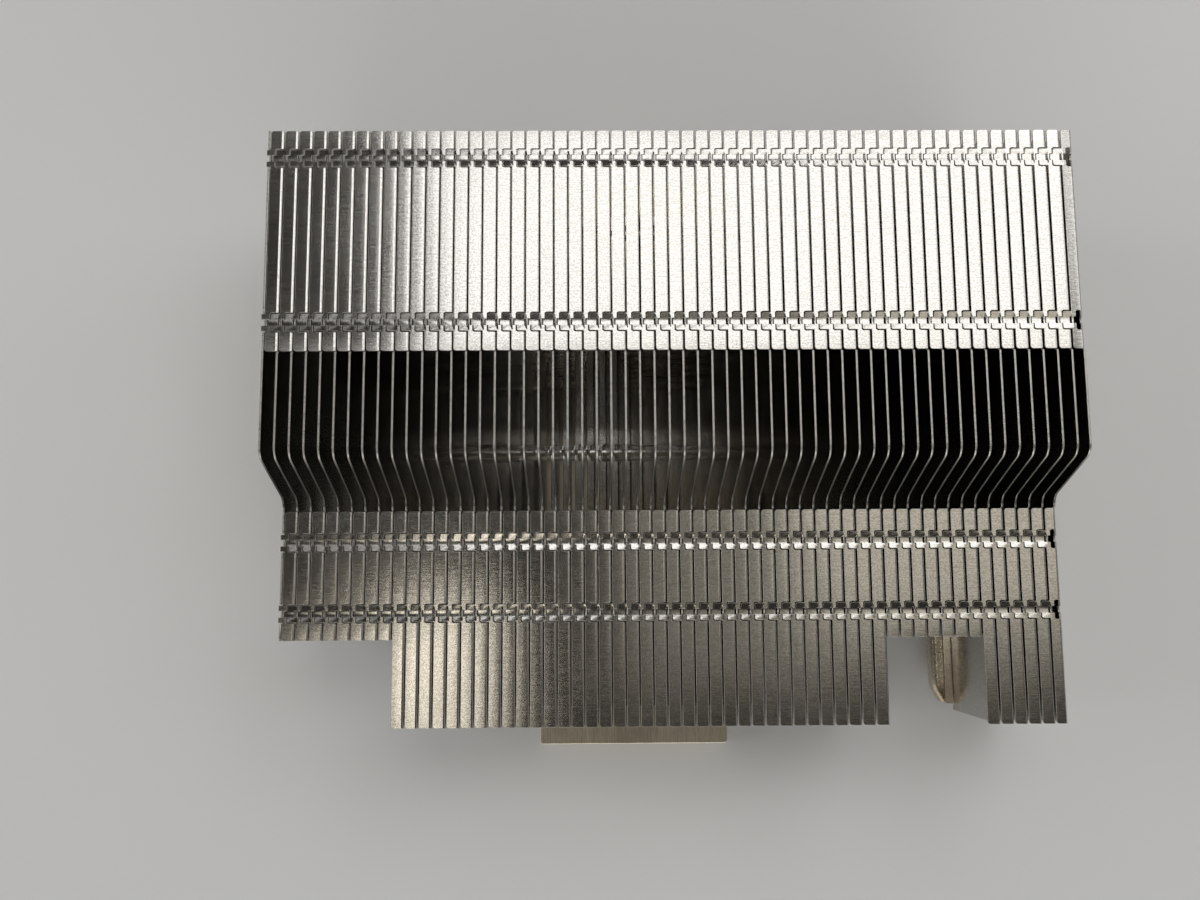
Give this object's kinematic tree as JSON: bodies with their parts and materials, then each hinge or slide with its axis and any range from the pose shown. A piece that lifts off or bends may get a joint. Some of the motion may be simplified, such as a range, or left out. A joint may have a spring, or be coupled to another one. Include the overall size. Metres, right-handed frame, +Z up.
{
  "type": "passive server cpu heatsink",
  "caption": "Passive server CPU heatsink: a two-level stack of folded, interlocking aluminium fins on a nickel-plated base plate with flattened heat pipes, notched at the front.",
  "frame": {"origin": "centre of the underside of the base plate, the face that presses on the processor", "axes": "+X across the fins, towards the side where the stack reaches further from the plate; +Y along the fins and the air stream, towards the tall level; +Z up, away from the processor"},
  "size_m": [0.1146, 0.0942, 0.0378],
  "materials": {
    "fin_sheet": "satin rolled sheet with fine grain across the folds",
    "nickel_plate": "nickel-plated copper, brushed along the airflow",
    "nickel_pipe": "nickel-plated copper tube, flattened, semi-gloss"
  },
  "bodies": {
    "root": {"base_plate": "nickel_plate", "heat_pipes": "nickel_pipe", "left_end_plate": "fin_sheet", "left_notch_fin_01": "fin_sheet", "left_notch_fin_02": "fin_sheet", "left_notch_fin_03": "fin_sheet", "left_notch_fin_04": "fin_sheet", "left_notch_fin_05": "fin_sheet", "left_notch_fin_06": "fin_sheet", "left_notch_fin_07": "fin_sheet", "left_notch_fin_08": "fin_sheet", "middle_fin_01": "fin_sheet", "middle_fin_02": "fin_sheet", "middle_fin_03": "fin_sheet", "middle_fin_04": "fin_sheet", "middle_fin_05": "fin_sheet", "middle_fin_06": "fin_sheet", "middle_fin_07": "fin_sheet", "middle_fin_08": "fin_sheet", "middle_fin_09": "fin_sheet", "middle_fin_10": "fin_sheet", "middle_fin_11": "fin_sheet", "middle_fin_12": "fin_sheet", "middle_fin_13": "fin_sheet", "middle_fin_14": "fin_sheet", "middle_fin_15": "fin_sheet", "middle_fin_16": "fin_sheet", "middle_fin_17": "fin_sheet", "middle_fin_18": "fin_sheet", "middle_fin_19": "fin_sheet", "middle_fin_20": "fin_sheet", "middle_fin_21": "fin_sheet", "middle_fin_22": "fin_sheet", "middle_fin_23": "fin_sheet", "middle_fin_24": "fin_sheet", "middle_fin_25": "fin_sheet", "middle_fin_26": "fin_sheet", "middle_fin_27": "fin_sheet", "middle_fin_28": "fin_sheet", "middle_fin_29": "fin_sheet", "middle_fin_30": "fin_sheet", "middle_fin_31": "fin_sheet", "middle_fin_32": "fin_sheet", "middle_fin_33": "fin_sheet", "middle_fin_34": "fin_sheet", "middle_fin_35": "fin_sheet", "middle_fin_36": "fin_sheet", "right_notch_fin_01": "fin_sheet", "right_notch_fin_02": "fin_sheet", "right_notch_fin_03": "fin_sheet", "right_notch_fin_04": "fin_sheet", "right_notch_fin_05": "fin_sheet", "right_notch_fin_06": "fin_sheet", "right_notch_fin_07": "fin_sheet", "right_column_fin_01": "fin_sheet", "right_column_fin_02": "fin_sheet", "right_column_fin_03": "fin_sheet", "right_column_fin_04": "fin_sheet", "right_column_fin_05": "fin_sheet", "right_closing_fin": "fin_sheet"}
  },
  "joints": []
}
